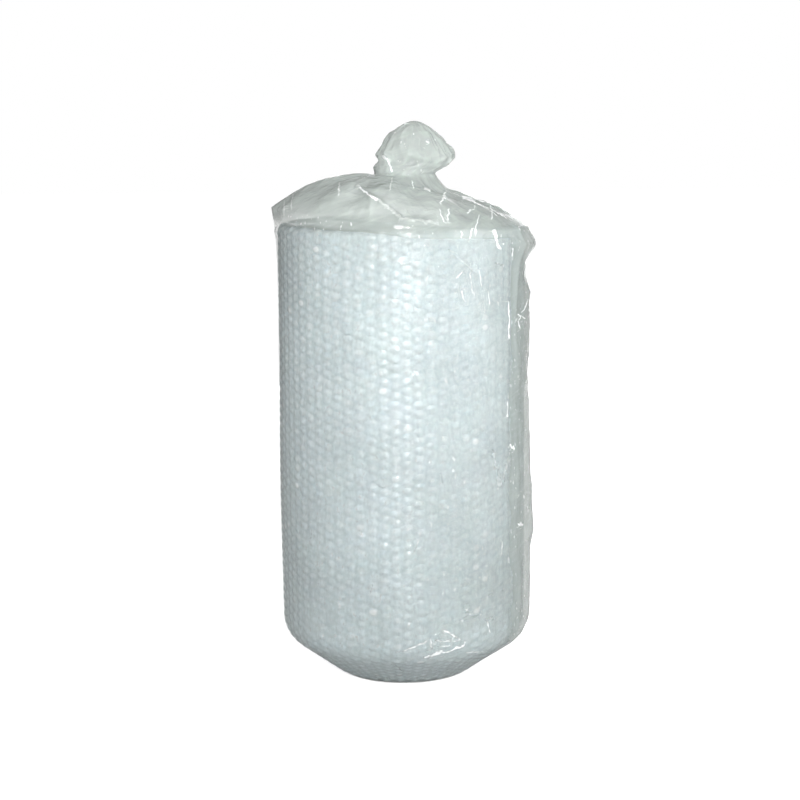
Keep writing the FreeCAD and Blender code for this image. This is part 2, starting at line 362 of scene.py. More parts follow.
@dataclass(frozen=True)
class BubbleFilmFinish:
    """Clear bubble film wound many turns deep: pale blue grey with soft patches, painted shade that darkens the
    valleys and the sides of each bubble so that the crowns and the middle of each column read lighter, and rare
    glints, partly a glossy coat and partly painted highlight.
    """

    # The valley and dome colours are a shaded and a lit copy of the same film: painted shade in the valleys between
    # bubbles, painted light on their crowns.
    valley: tuple[float, float, float] = (0.62, 0.705, 0.72)
    dome: tuple[float, float, float] = (0.68, 0.75, 0.765)
    lilac: tuple[float, float, float] = (0.60, 0.64, 0.71)
    # Colour of the glint painted onto the crowns of the glossy bubbles.
    glint: tuple[float, float, float] = (0.97, 0.98, 0.98)
    roughness: float = 0.27
    depth: float = 13 * MM

    def build(self) -> bpy.types.Material:
        """Material whose colour follows the brightness that the mesh carries: painted shade in the valleys and lighter
        crowns, a coat where the mesh has a glint, and that glint also painted into the colour.
        """
        material = bpy.data.materials.new("bubble_film")
        material.use_nodes = True
        graph = Graph(material.node_tree)
        shader = material.node_tree.nodes["Principled BSDF"]
        shader.inputs["IOR"].default_value = 1.5
        shader.inputs["Roughness"].default_value = self.roughness
        shader.inputs["Coat Roughness"].default_value = 0.06
        shader.inputs["Subsurface Weight"].default_value = 1.0
        shader.inputs["Subsurface Radius"].default_value = (1.0, 1.1, 1.15)
        shader.inputs["Subsurface Scale"].default_value = self.depth
        place = graph.add("ShaderNodeTexCoord").outputs["Object"]
        # Painted shade: darker in the valleys and on the sides of each bubble, lighter on the crowns, over a random
        # brightness per bubble.
        tint = graph.blend(graph.mask("tone_and_painted_shade"), self.valley, self.dome)
        lilac = graph.math("MULTIPLY", Effect.MOTTLE.place(graph, place, 23.0), 0.3)
        tint = graph.blend(lilac, tint, self.lilac)
        patches = Effect.MOTTLE.place(graph, place, 9.0, 0.90, 1.07)
        flecks = Effect.MOTTLE.place(graph, stretched(graph, place, (1, 1, 0.5)), 260.0, 0.88, 1.09)
        drawn = Effect.CRUMPLE.place(graph, rising(graph, place), 110.0, 0.93, 1.10)
        shade = graph.math("MULTIPLY", graph.math("MULTIPLY", patches, flecks), drawn)
        scaled = graph.add("ShaderNodeVectorMath", {0: tint, "Scale": shade}, operation="SCALE")
        # Painted highlight: the crowns of the glossy bubbles whitened into a small glint, besides their real coat.
        painted_glint = graph.math("MULTIPLY", graph.math("POWER", graph.mask("glint"), 5.0), 0.9)
        tint = graph.blend(painted_glint, scaled.outputs[0], self.glint)
        material.node_tree.links.new(tint, shader.inputs["Base Color"])
        material.node_tree.links.new(graph.mask("glint"), shader.inputs["Coat Weight"])
        grain = Effect.CRUMPLE.place(graph, place, 160.0)
        bump = graph.add("ShaderNodeBump", {"Height": grain}, {"Strength": 0.45, "Distance": 0.8 * MM})
        material.node_tree.links.new(bump.outputs["Normal"], shader.inputs["Normal"])
        return material


@dataclass(frozen=True)
class BagFilmFinish:
    """Thin clear film: nearly unseen where it lies flat, hazy and crinkled where it is gathered or stands free."""

    tint: tuple[float, float, float] = (0.48, 0.535, 0.505)
    # Colour of creases and flecks: partly the film's own whitening at folds, partly painted highlights and glints.
    crease: tuple[float, float, float] = (0.94, 0.96, 0.96)
    clear: float = 0.12
    hazy: float = 0.94
    grazing: float = 0.6
    roughness: float = 0.17

    def build(self) -> bpy.types.Material:
        """Material whose opacity follows the mesh's haze and the grazing angle, whitened along its creases and in rare
        flecks: partly the film's own whitening at folds, partly painted highlights and glints.
        """
        material = bpy.data.materials.new("bag_film")
        material.use_nodes = True
        graph = Graph(material.node_tree)
        link = material.node_tree.links.new
        shader = material.node_tree.nodes["Principled BSDF"]
        shader.inputs["Roughness"].default_value = self.roughness
        shader.inputs["IOR"].default_value = 1.65
        place = graph.add("ShaderNodeTexCoord").outputs["Object"]
        haze = graph.mask("haze")
        wiggle = Effect.MOTTLE.place(graph, place, 120.0, -1.3, 1.3)
        off_line = graph.math("ABSOLUTE", graph.math("ADD", graph.mask("reach"), wiggle))
        line = graph.math("SUBTRACT", 1.5, off_line, clamp=True)
        broken = graph.math("MULTIPLY", graph.mask("crease"), Effect.MOTTLE.place(graph, place, 180.0, 0.25, 1.3))
        # Rare white flecks where the film is bare: painted glints.
        painted_glint_fleck = graph.math("SUBTRACT", Effect.MOTTLE.place(graph, stretched(graph, place, (1, 1, 0.6)), 210.0), 0.955)
        bare = graph.math("MULTIPLY", graph.math("SUBTRACT", 0.8, haze, clamp=True), 0.6)
        painted_glint_fleck = graph.math("MULTIPLY", graph.math("MULTIPLY", painted_glint_fleck, 14.0, clamp=True), bare)
        line = graph.math("MULTIPLY", line, broken, clamp=True)
        crease = graph.math("MAXIMUM", line, painted_glint_fleck)
        cloud = Effect.MOTTLE.place(graph, place, 17.0, 0.85, 1.1)
        streak = rising(graph, place)
        drawn = Effect.CRUMPLE.place(graph, streak, 80.0, 0.85, 1.15)
        cloud = graph.math("MULTIPLY", cloud, drawn)
        body = graph.math("MULTIPLY_ADD", graph.math("MULTIPLY", haze, cloud), self.hazy - self.clear, self.clear)
        edge = graph.add("ShaderNodeLayerWeight", values={"Blend": 0.2}).outputs["Facing"]
        rim = graph.math("MULTIPLY_ADD", graph.math("POWER", edge, 3.0), self.grazing, body)
        alpha = graph.math("ADD", crease, rim, clamp=True)
        link(alpha, shader.inputs["Alpha"])
        # Whitening along the creases and in the flecks: partly the film's whitening at folds, partly painted
        # highlights and glints.
        white = graph.math("MAXIMUM", graph.math("MULTIPLY", line, 3.0), graph.math("MULTIPLY", painted_glint_fleck, 30.0), clamp=True)
        link(graph.blend(white, self.tint, self.crease), shader.inputs["Base Color"])
        crumple = Effect.CRUMPLE.place(graph, place, 24.0)
        fine = Effect.CRUMPLE.place(graph, place, 75.0, 0.0, 0.3)
        streaks = Effect.CRUMPLE.place(graph, streak, 75.0, 0.0, 0.22)
        height = graph.math("ADD", graph.math("ADD", crumple, fine), streaks)
        bump = graph.add("ShaderNodeBump", {"Height": height}, {"Strength": 0.8, "Distance": 4 * MM})
        link(bump.outputs["Normal"], shader.inputs["Normal"])
        return material


@dataclass
class BubbleRoll:
    """The wound bubble film: a wall of bubbles over the outermost turn, and the laps that show at both ends."""

    low: Vector
    high: Vector
    columns: int = 66
    row_pitch: float = 11.6 * MM
    bubble_half_width: float = 6.8 * MM
    bubble_half_height: float = 4.9 * MM
    bubble_rise: float = 1.4 * MM
    first_column: float = 4.818
    tail_azimuth: float = 133.0
    tail_step: float = 1.8 * MM
    glint_share: float = 0.09
    rim: float = 11 * MM
    eye: float = 27 * MM
    turn_pitch: float = 4.0 * MM
    seed: int = 11
    finish: BubbleFilmFinish = field(default_factory=BubbleFilmFinish)

    def outline(self) -> Outline:
        """Outline of the valleys between the bubbles."""
        crest = self.high.x
        return Outline(radius=crest - self.bubble_rise, foot_radius=87.5 * MM)

    def meridian(self, samples: int = 900) -> tuple[np.ndarray, np.ndarray, np.ndarray]:
        """Arc length, radius and height along the valley outline, from the foot's edge to the top's edge."""
        outline = self.outline()
        height = np.linspace(self.low.z, self.high.z - self.rim, samples)
        radius = outline.radius_at(height)
        turn = np.linspace(0, math.pi / 2, 30)[1:]
        height = np.concatenate([height, self.high.z - self.rim * (1 - np.sin(turn))])
        radius = np.concatenate([radius, outline.radius - self.rim * (1 - np.cos(turn))])
        step = np.hypot(np.diff(radius), np.diff(height))
        return np.concatenate([[0], np.cumsum(step)]), radius, height

    def place(self, angle: np.ndarray, length: np.ndarray, rise: np.ndarray) -> np.ndarray:
        """Points over the outline.

        The point at a length along the outline is moved out by the rise along the outline's normal, and turned
        round the axis by the angle. Long shallow waves keep the wall from being a true cylinder.

        Args:
            angle: Azimuth in radians.
            length: Arc length along the outline.
            rise: Height over the valley.

        Returns:
            Points, with x, y and z on the last axis.
        """
        arc, radius, height = self.meridian()
        base = np.interp(length, arc, radius)
        level = np.interp(length, arc, height)
        lean = np.arctan2(np.gradient(height, arc), np.gradient(radius, arc)) - math.pi / 2
        tilt = np.interp(length, arc, lean)
        wave = 0.1 * MM * (np.sin(3 * angle + 9 * level) * np.sin(17 * level + 2 * angle) - 1)
        past_tail = np.mod(np.degrees(angle) - self.tail_azimuth, 360)
        wave = wave - self.tail_step * np.exp(-past_tail / 16)
        wave = wave + 2.2 * MM * hill(np.degrees(angle), 180, 45) * np.exp(-(((level - 0.25) / 0.15) ** 2))
        out = base + rise * np.cos(tilt) + wave * ramp(level, 0.02, 0.1)
        up = level + rise * np.sin(tilt)
        return np.stack([out * np.cos(angle), out * np.sin(angle), up], axis=-1)

    def wall(self) -> bpy.types.Object:
        """Wall of bubbles.

        The wall is tiled with six-sided cells in staggered columns. Each cell holds one bubble: a ring of twelve
        points in the valley, a ring of twelve at its shoulder and one at its crown. A cell's corners are shared with
        its neighbours. The wall closes inwards over a hidden cone.

        Returns:
            The piece.
        """
        arc, _, _ = self.meridian()
        step = TURN / self.columns
        margin = 0.25 * self.row_pitch
        rows = int((arc[-1] - 2 * margin) / self.row_pitch - 0.5)
        pitch = (arc[-1] - 2 * margin) / (rows + 0.5)
        column = np.arange(self.columns)[:, None] + math.radians(self.first_column) / step
        row = np.arange(-1, rows + 1)[None, :]
        stagger = 0.5 * (np.arange(self.columns)[:, None] % 2)
        corner_share = 0.33
        near = (column + corner_share) * step + 0 * row
        far = (column + 1 - corner_share) * step + 0 * row
        near_length = margin + (row + 1 + stagger) * pitch
        far_length = margin + (row + 0.5 + stagger) * pitch
        noise = np.random.default_rng(self.seed)
        near_points = self.place(near, np.clip(near_length, 0, arc[-1]), np.zeros_like(near_length))
        far_points = self.place(far, np.clip(far_length, 0, arc[-1]), np.zeros_like(far_length))
        count = self.columns * (rows + 2)
        points = [near_points.reshape(-1, 3), far_points.reshape(-1, 3)]
        near_ids = np.arange(count).reshape(self.columns, rows + 2)
        far_ids = near_ids + count
        turn = np.arange(12) * TURN / 12
        cell_column = np.arange(self.columns)[:, None, None]
        cell_row = np.arange(rows)[None, :, None]
        shift = noise.normal(0, 0.05, (2, self.columns, rows, 1))
        full = np.clip(noise.normal(1.0, 0.14, (self.columns, rows, 1)), 0.35, 1.2)
        centre_angle = (cell_column + shift[0] * 0.6) * step + math.radians(self.first_column)
        centre_length = margin + (cell_row + 0.5 + 0.5 * (cell_column % 2) + shift[1] * 0.6) * pitch
        wide = self.bubble_half_width / self.outline().radius
        tall = self.bubble_half_height
        rings = []
        for share, rise in ((1.0, 0.0), (0.68, 0.66)):
            angle = centre_angle + share * wide * np.cos(turn)
            length = centre_length + share * tall * np.sin(turn)
            rings.append(self.place(angle, length, rise * self.bubble_rise * full + 0 * angle))
        crown_tilt = noise.normal(0, 0.12, (2, self.columns, rows, 1))
        crown = self.place(
            centre_angle + crown_tilt[0] * wide,
            centre_length + crown_tilt[1] * tall,
            self.bubble_rise * full,
        )
        cells = self.columns * rows
        points += [rings[0].reshape(-1, 3), rings[1].reshape(-1, 3), crown.reshape(-1, 3)]
        base_ids = 2 * count + np.arange(cells * 12).reshape(self.columns, rows, 12)
        shoulder_ids = base_ids + cells * 12
        crown_ids = 2 * count + cells * 24 + np.arange(cells).reshape(self.columns, rows)
        before = (np.arange(self.columns) - 1) % self.columns
        even = (np.arange(self.columns) % 2 == 0)[:, None]
        rise_row = np.arange(1, rows + 1)[None, :]
        left_row = np.where(even, rise_row - 1, rise_row)
        own = np.arange(self.columns)[:, None]
        left = before[:, None]
        corners = np.stack(
            [
                far_ids[own, rise_row],
                near_ids[own, rise_row],
                far_ids[left, left_row + 1],
                near_ids[left, left_row],
                far_ids[left, left_row],
                near_ids[own, rise_row - 1],
            ],
            axis=-1,
        )
        faces = []
        for side in range(6):
            a = corners[..., side]
            b = corners[..., (side + 1) % 6]
            first = base_ids[..., 2 * side]
            second = base_ids[..., (2 * side + 1) % 12]
            third = base_ids[..., (2 * side + 2) % 12]
            faces.append(np.stack([a, second, first], -1).reshape(-1, 3))
            faces.append(np.stack([a, b, second], -1).reshape(-1, 3))
            faces.append(np.stack([b, third, second], -1).reshape(-1, 3))
        after = np.roll(np.arange(12), -1)
        faces.append(
            np.stack([base_ids, base_ids[..., after], shoulder_ids[..., after], shoulder_ids], -1).reshape(-1, 4)
        )
        crowns = np.repeat(crown_ids[..., None], 12, axis=-1)
        faces.append(np.stack([shoulder_ids, shoulder_ids[..., after], crowns], -1).reshape(-1, 3))
        # Brightness for the finish: a random brightness per bubble, with painted shade that keeps the valleys at 0.12
        # and darkens each bubble's left and right sides and its base ring, so the crowns and the middle of each column
        # read lighter.
        bright = np.clip(noise.normal(0.55, 0.16, (self.columns, rows, 1)), 0, 1)
        across = 0.3 + 0.7 * np.abs(np.sin(turn))
        tone_and_painted_shade = [np.full(2 * count, 0.12), (bright * across).ravel(), (bright * (0.35 + 0.65 * across)).ravel()]
        tone_and_painted_shade.append(bright.ravel())
        # Rare glossy bubbles: a coat on their crowns, and a glint painted into their colour there.
        glossy = (noise.random((self.columns, rows, 1)) < self.glint_share) * noise.random((self.columns, rows, 1))
        glint = [np.zeros(2 * count + cells * 12), (glossy + 0 * turn).ravel(), glossy.ravel()]
        return self.close_wall(points, faces, near_ids, far_ids, np.concatenate(tone_and_painted_shade), np.concatenate(glint))

    def close_wall(
        self, points: list, faces: list, near_ids: np.ndarray, far_ids: np.ndarray, tone_and_painted_shade: np.ndarray, glint: np.ndarray
    ) -> bpy.types.Object:
        """Close the wall at the foot, at the rim and over the hidden cone inside.

        Args:
            points: Blocks of points so far.
            faces: Blocks of faces so far.
            near_ids: Numbers of the corners nearer each column, by column and row.
            far_ids: Numbers of the corners farther from it.
            tone_and_painted_shade: Brightness of each point, for the finish.
            glint: Gloss of each point, and the strength of the glint painted into its colour, for the finish.

        Returns:
            The piece.
        """
        arc, _, _ = self.meridian()
        rows = near_ids.shape[1] - 2
        columns = np.arange(self.columns)
        even = columns % 2 == 0
        before = (columns - 1) % self.columns
        left_low = np.where(even, far_ids[before, 0], far_ids[before, 1])
        left_high = np.where(even, far_ids[before, rows], far_ids[before, rows + 1])
        low_ring = np.stack([left_low, near_ids[:, 0]], -1).ravel()
        high_ring = np.stack([left_high, near_ids[:, rows]], -1).ravel()
        step = TURN / self.columns
        angle = np.stack([(columns - 0.33) * step, (columns + 0.33) * step], -1).ravel() + math.radians(self.first_column)
        start = sum(len(block) for block in points)
        size = angle.size
        foot = self.place(angle, np.zeros(size), np.zeros(size))
        rim = self.place(angle, np.full(size, arc[-1]), np.zeros(size))
        inner_high = rim * np.array([0.985, 0.985, 1]) - np.array([0, 0, 9 * MM])
        inner_low = foot * np.array([0.985, 0.985, 1]) + np.array([0, 0, 4 * MM])
        points += [foot, rim, inner_high, inner_low]
        ring = start + np.arange(size)
        rings = [ring, ring + size, ring + 2 * size, ring + 3 * size]
        faces.append(ring_strip(rings[0], low_ring))
        faces.append(ring_strip(high_ring, rings[1]))
        faces.append(ring_strip(rings[1], rings[2]))
        faces.append(ring_strip(rings[2], rings[3]))
        faces.append(ring_strip(rings[3], rings[0]))
        shades = {"tone_and_painted_shade": np.append(tone_and_painted_shade, np.full(4 * size, 0.3)), "glint": np.append(glint, np.zeros(4 * size))}
        return add_mesh("roll_wall", np.concatenate(points), faces, shades)

    def end_height(self, level: Level, around: np.ndarray, radius: np.ndarray, noise: PatchNoise) -> np.ndarray:
        """Height of an end face: the film's edges stand as fine wavy ridges along the spiral.

        The ridge follows the share of a turn left over from radius over turn pitch less azimuth, and its height is
        the square of one less twice the distance from the middle of the lap.

        Args:
            level: Which end.
            around: Share of a turn.
            radius: Radius.
            noise: Noise for the unevenness.

        Returns:
            Heights.
        """
        drift = 0.12 * noise.layer(around, radius / self.high.x, (24, 10))
        lap = np.mod(radius / self.turn_pitch - around + drift, 1.0)
        ridge = (1 - np.abs(2 * lap - 1)) ** 2
        worn = noise.layer(around, radius / self.high.x, (90, 34))
        depth = (1.9 - 1.6 * ridge * (0.75 + 0.25 * worn)) * MM
        sag = 1.2 * MM * noise.layer(around, radius / self.high.x, (7, 5))
        edge = self.high.z if level is Level.TOP else self.low.z
        return edge - level.value * (depth + np.abs(sag) * (level is Level.TOP))

    def laps(self) -> bpy.types.Object:
        """Ends of the roll with the open eye, closed over the hidden cone behind the wall.

        Returns:
            The piece.
        """
        noise = PatchNoise(self.seed + 1)
        around = np.arange(220) / 220
        angle = around * TURN
        _, outline_radius, _ = self.meridian(60)
        top_edge = outline_radius[-1] - 0.6 * MM
        foot_edge = outline_radius[0] - 0.6 * MM
        blocks = []
        for level, edge, steps in ((Level.TOP, top_edge, 150), (Level.BOTTOM, foot_edge, 60)):
            radius = np.linspace(self.eye, edge, steps)[:, None] + 0 * around[None, :]
            height = self.end_height(level, around[None, :] + 0 * radius, radius, noise)
            points = np.stack([radius * np.cos(angle), radius * np.sin(angle), height], -1)
            blocks.append(points if level is Level.TOP else points[::-1])
        rings = np.concatenate([blocks[0], blocks[1]])
        count = rings.shape[0]
        ids = np.arange(count * around.size).reshape(count, around.size)
        faces = [ring_strip(ids[index + 1], ids[index]) for index in range(count - 1)]
        faces.append(ring_strip(ids[0], ids[-1]))
        shades = {"tone_and_painted_shade": np.full(count * around.size, 0.5), "glint": np.zeros(count * around.size)}
        return add_mesh("roll_laps", rings.reshape(-1, 3), faces, shades)

    def build(self) -> list[bpy.types.Object]:
        """Both pieces of the roll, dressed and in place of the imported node."""
        material = self.finish.build()
        pieces = [self.wall(), self.laps()]
        for piece in pieces:
            piece.data.materials.append(material)
            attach(piece, "root")
            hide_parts("bubble_roll")
        return pieces


@dataclass(frozen=True)
class Crease:
    """Sharp crease of the film on the front of the bag, between two places given as x and z in millimetres."""

    start: tuple[float, float]
    end: tuple[float, float]
    width: float = 1.0
    lift: float = 1.0
    # Whiteness painted along the crease: partly the film's own whitening at the fold, partly painted highlight.
    white: float = 0.9
    window: float = 7.0

    def across(self, points: np.ndarray) -> tuple[np.ndarray, np.ndarray]:
        """Where points lie beside the crease, as seen from the front.

        The reach is the signed distance from the line over the crease's width. The nearness is one beside the line
        and falls to zero over a window round it, and everywhere on the back.

        Args:
            points: Points, with x, y and z on the last axis.

        Returns:
            Reach and nearness.
        """
        start = np.array(self.start) * MM
        line = np.array(self.end) * MM - start
        length = np.linalg.norm(line)
        line = line / length
        flat = points[..., (0, 2)] - start
        along = flat @ line
        side = flat @ np.array([-line[1], line[0]])
        past = np.maximum(np.maximum(-along, along - length), 0)
        window = self.window * MM
        near = (1 - ramp(np.abs(side), 0.7 * window, 1.5 * window)) * (1 - ramp(past, 0, 0.6 * window))
        return side / (self.width * MM), near * (points[..., 1] < 0)


# Creases that the eye meets first: over the shoulder, round the neck, down the right of the wall and at its foot;
# their whiteness is partly the film's own whitening at folds and partly painted highlight
CREASES = (
    Crease((-54, 650), (-25, 632), 1.8, 3.0, 0.16),
    Crease((-25, 632), (-2, 616), 1.8, 2.4, 0.14),
    Crease((-45, 643), (-30, 634), 0.8, 1.0, 0.9, 3.0),
    Crease((-50, 647), (-43, 641), 0.7, 0.8, 0.6, 3.0),
    Crease((-2, 613), (60, 608), 1.6, 1.0, 0.10),
    Crease((82, 632), (92, 628), 1.0, 1.0, 1.0),
    Crease((100, 629), (112, 625), 1.0, 0.8, 0.9),
    Crease((31, 646), (36, 644), 1.2, 1.0, 1.0, 4.0),
    Crease((-23, 686), (-16, 680), 0.9, 0.8, 0.9, 3.0),
    Crease((-17, 682), (-11, 667), 0.9, 0.8, 1.0, 3.0),
    Crease((34, 705), (37, 703), 1.0, 0.6, 0.9, 3.0),
    Crease((116, 594), (122, 573), 1.3, 1.5, 1.0),
    Crease((122, 573), (127, 579), 0.9, 0.8, 0.9, 3.0),
    Crease((135, 503), (136, 458), 0.7, 1.0, 1.0),
    Crease((134, 374), (134, 357), 0.7, 0.8, 0.9),
    Crease((138, 318), (144, 311), 1.2, 1.0, 1.0, 4.0),
    Crease((113, 316), (124, 267), 2.4, 2.0, 0.13),
    Crease((124, 267), (136, 300), 2.4, 2.0, 0.13),
    Crease((150, 210), (156, 205), 1.1, 1.0, 0.9, 4.0),
    Crease((26, 57), (56, 66), 2.2, 2.2, 0.8, 6.0),
    Crease((50, 62), (75, 70), 1.6, 2.2, 0.95, 6.0),
    Crease((50, 92), (76, 73), 1.2, 1.8, 0.6, 5.0),
    Crease((40, 80), (60, 76), 0.8, 1.2, 0.5, 4.0),
    Crease((-10, 65), (28, 79), 0.9, 1.2, 0.45, 5.0),
    Crease((80, 58), (106, 52), 0.8, 1.5, 0.6, 4.0),
    Crease((106, 93), (110, 79), 0.8, 1.0, 0.7, 4.0),
    Crease((-21, 573), (46, 557), 1.4, -1.4, 0.0),
    Crease((2, 599), (41, 591), 1.4, -1.2, 0.0),
    Crease((60, 575), (96, 540), 0.7, 1.0, 0.2),
    Crease((84, 545), (88, 520), 0.7, 1.0, 0.4, 4.0),
    Crease((96, 548), (100, 526), 0.6, 0.8, 0.5, 4.0),
    Crease((72, 530), (78, 510), 0.7, 1.0, 0.3, 4.0),
    Crease((108, 520), (110, 504), 0.6, 0.8, 0.4, 4.0),
)


@dataclass
class FilmBag:
    """The clear bag: foot, wall, standing crease with its ears, sagging shoulder, gathered neck and knot."""

    low: Vector
    high: Vector
    around_count: int = 400
    ring_counts: tuple[int, int, int, int] = (5, 150, 42, 38)
    front_crowding: float = 25.0
    stray_creases: int = 60
    wall_haze: float = 0.70
    wall_radius: float = 162.7 * MM
    crease_height: float = 607 * MM
    crease_tilt: float = 13 * MM
    neck_height: float = 662 * MM
    neck_radius: float = 40 * MM
    neck_shift: float = 5 * MM
    seed: int = 29
    finish: BagFilmFinish = field(default_factory=BagFilmFinish)

    # Extra reach of the loose film on the right, at heights up the wall
    right_edge_mm: tuple[tuple[float, float], ...] = (
        (60, 0.0),
        (135, 2.6),
        (167, 4.0),
        (188, 8.5),
        (241, 7.0),
        (290, 4.0),
        (342, 2.4),
        (400, -1.3),
        (450, 0.3),
        (507, 2.4),
        (530, -3.5),
        (550, -3.0),
        (565, 0.0),
    )
    # Knot outline: height, middle of its width along X, and half width, from the neck to the crown
    knot_outline: tuple[tuple[float, float, float], ...] = (
        (662, 5.2, 40.0),
        (668, 9.0, 43.5),
        (674, 16.0, 48.5),
        (681, 19.5, 50.5),
        (689, 17.7, 51.2),
        (704, 17.4, 42.0),
        (716, 17.4, 31.4),
        (724, 18.0, 18.5),
        (729, 17.4, 5.5),
        (730, 17.4, 0.0),
    )

    def outline(self) -> Outline:
        """Outline of the bag's plain wall."""
        return Outline(radius=self.wall_radius)

    @property
    def right_edge(self) -> tuple[np.ndarray, np.ndarray]:
        """Heights and reaches of the loose film on the right, in metres."""
        table = np.array(self.right_edge_mm) * MM
        return table[:, 0], table[:, 1]

    def crease_level(self, angle: np.ndarray) -> np.ndarray:
        """Height of the standing crease, lowest on the right."""
        return self.crease_height - self.crease_tilt * np.cos(np.radians(angle))

    def wall(self, angle: np.ndarray, height: np.ndarray, noise: PatchNoise) -> tuple[np.ndarray, np.ndarray]:
        """Wall of the bag.

        Its radius is the plain outline plus long slack waves, sharp upright pleats on the right, the puffed ear, the
        pointed ear, and crumples that grow where the film is loose.

        Args:
            angle: Azimuth in degrees.
            height: Height before the crease is tilted.
            noise: Noise for the crumples.

        Returns:
            Points and haze.
        """
        around = angle / 360
        along = height / self.crease_height
        share = ramp(height, 0.0, 60 * MM)
        radius = self.outline().radius_at(height)
        wave = 0.5 + 0.5 * np.cos(np.radians(3 * angle + 60) + 6.1 * height)
        radius = radius + 0.8 * MM * wave * share * hill(angle, 0, 100)
        radius = radius + np.interp(height, *self.right_edge) * hill(angle, 0, 17)
        radius = radius + 2.2 * MM * hill(angle, 180, 45) * np.exp(-(((height - 0.25) / 0.15) ** 2))
        wander = noise.layer(around, along, (9, 14))
        off_pleat = np.abs(np.mod(angle + 4 * wander - 10 + 180, 360) - 180)
        loose = 1 - ramp(off_pleat, 33, 52)
        cloudy = 1 - ramp(np.abs(np.mod(angle + 3 * wander + 6 + 180, 360) - 180), 18, 31)
        bottom_right = hill(angle, -48, 38) * (1 - ramp(height, 90 * MM, 230 * MM))
        bunching = PatchNoise(self.seed + 1).creases(around + 0.2 * along, along, (30, 40), 2)
        wander = 4 * np.sin(height / 0.045) + 3 * np.sin(height / 0.021 + 1.3)
        radius = radius + MM * share * (
            3.6 * hill(angle, 0, 15) * (0.7 + 0.3 * np.sin(height / 0.055))
            + 2.4 * pleat(angle, -26 + wander * 0.35, 2.6) * (0.6 + 0.4 * np.sin(height / 0.08 + 0.8))
            + 1.5 * pleat(angle, -41 + wander * 0.5, 2.2) * (0.5 + 0.5 * np.sin(height / 0.06 + 2.0))
            + 2.0 * pleat(angle, 12 - wander, 3.0)
            + 2.6 * bottom_right * bunching
        )
        puff = np.exp(-(((height - 577 * MM) / (22 * MM)) ** 2))
        radius = radius + 11 * MM * puff * hill(angle, -14, 22)
        near_top = np.clip(1 - (self.crease_height - height) / (60 * MM), 0, 1) ** 2
        radius = radius + 6.5 * MM * near_top * hill(angle, 180, 9)
        crumple = noise.creases(around, along, (26, 16), 3)
        streaks = noise.creases(around + 0.03 * along, along, (60, 5), 2)
        top_band = ramp(height, 520 * MM, 600 * MM)
        front = hill(angle, -60, 50)
        looseness = np.clip(0.03 + 0.1 * front + 0.75 * loose + 0.9 * bottom_right + 0.4 * top_band, 0, 1)
        radius = radius + MM * share * looseness * (2.4 * crumple + 0.9 * streaks)
        level = np.where(
            height > 560 * MM,
            560 * MM
            + (self.crease_level(angle) - 560 * MM) * (height - 560 * MM) / (self.crease_height - 560 * MM),
            height,
        )
        rim_band = ramp(height, 590 * MM, 603 * MM)
        veil = 0.18 * ramp(np.abs(np.mod(angle + 20 + 180, 360) - 180), 92, 42) * ramp(height, 40 * MM, 140 * MM)
        haze = 0.12 + veil + 0.58 * cloudy + 0.1 * bottom_right + 0.1 * top_band + 0.68 * rim_band
        haze = haze + 0.15 * (looseness + veil) * (crumple - 0.3)
        haze = np.clip(haze, 0, self.wall_haze)
        turn = np.radians(angle)
        return np.stack([radius * np.cos(turn), radius * np.sin(turn), level], -1), haze

    def shoulder(
        self, angle: np.ndarray, share: np.ndarray, rim: np.ndarray, noise: PatchNoise
    ) -> tuple[np.ndarray, np.ndarray]:
        """Shoulder of the bag, from the crease at share 0 to the neck at share 1.

        The film climbs steeply off the crease, then flattens, and sags on the right. Gathers radiate from the neck:
        sharp crests that turn a little round the axis as they rise and grow towards the neck.

        Args:
            angle: Azimuth in degrees.
            share: Share of the way to the neck.
            rim: Points of the crease.
            noise: Noise for the gathers.

        Returns:
            Points and haze.
        """
        around = angle / 360
        turn = np.radians(angle)
        rim_radius = np.hypot(rim[..., 0], rim[..., 1])
        sag = 0.46 * (0.5 + 0.5 * np.cos(turn))
        climb = (1 - sag) * (1 - (1 - share) ** 2.25) + sag * share**7
        height = rim[..., 2] + (self.neck_height - rim[..., 2]) * climb
        radius = rim_radius + (self.neck_radius - rim_radius) * share
        twist = around + 0.05 * share
        gathers = noise.creases(twist, 0.35 * share, (13, 2), 2)
        fine = noise.creases(twist + 0.02 * share, share, (34, 3), 2)
        crumple = noise.creases(around, share, (18, 5), 3)
        lift = share * (1 - share) * 4
        even = 0.5 + 0.5 * np.cos(11 * turn)
        height = height + MM * (
            3.0 * lift * even
            + 3.6 * lift * (gathers - 0.4)
            + 2.0 * lift * (fine - 0.4)
            + 2.2 * np.sqrt(np.clip(lift, 0, 1)) * (crumple - 0.4)
        )
        radius = radius * (1 + share**3 * (0.10 * (gathers - 0.5) + 0.06 * (fine - 0.5)))
        shift = self.neck_shift * share**2
        haze = np.clip(0.92 - 0.04 * share + 0.25 * (crumple - 0.4) + 0.25 * (gathers - 0.5), 0, 1)
        points = np.stack([shift + radius * np.cos(turn), radius * np.sin(turn), height], -1)
        return points, haze

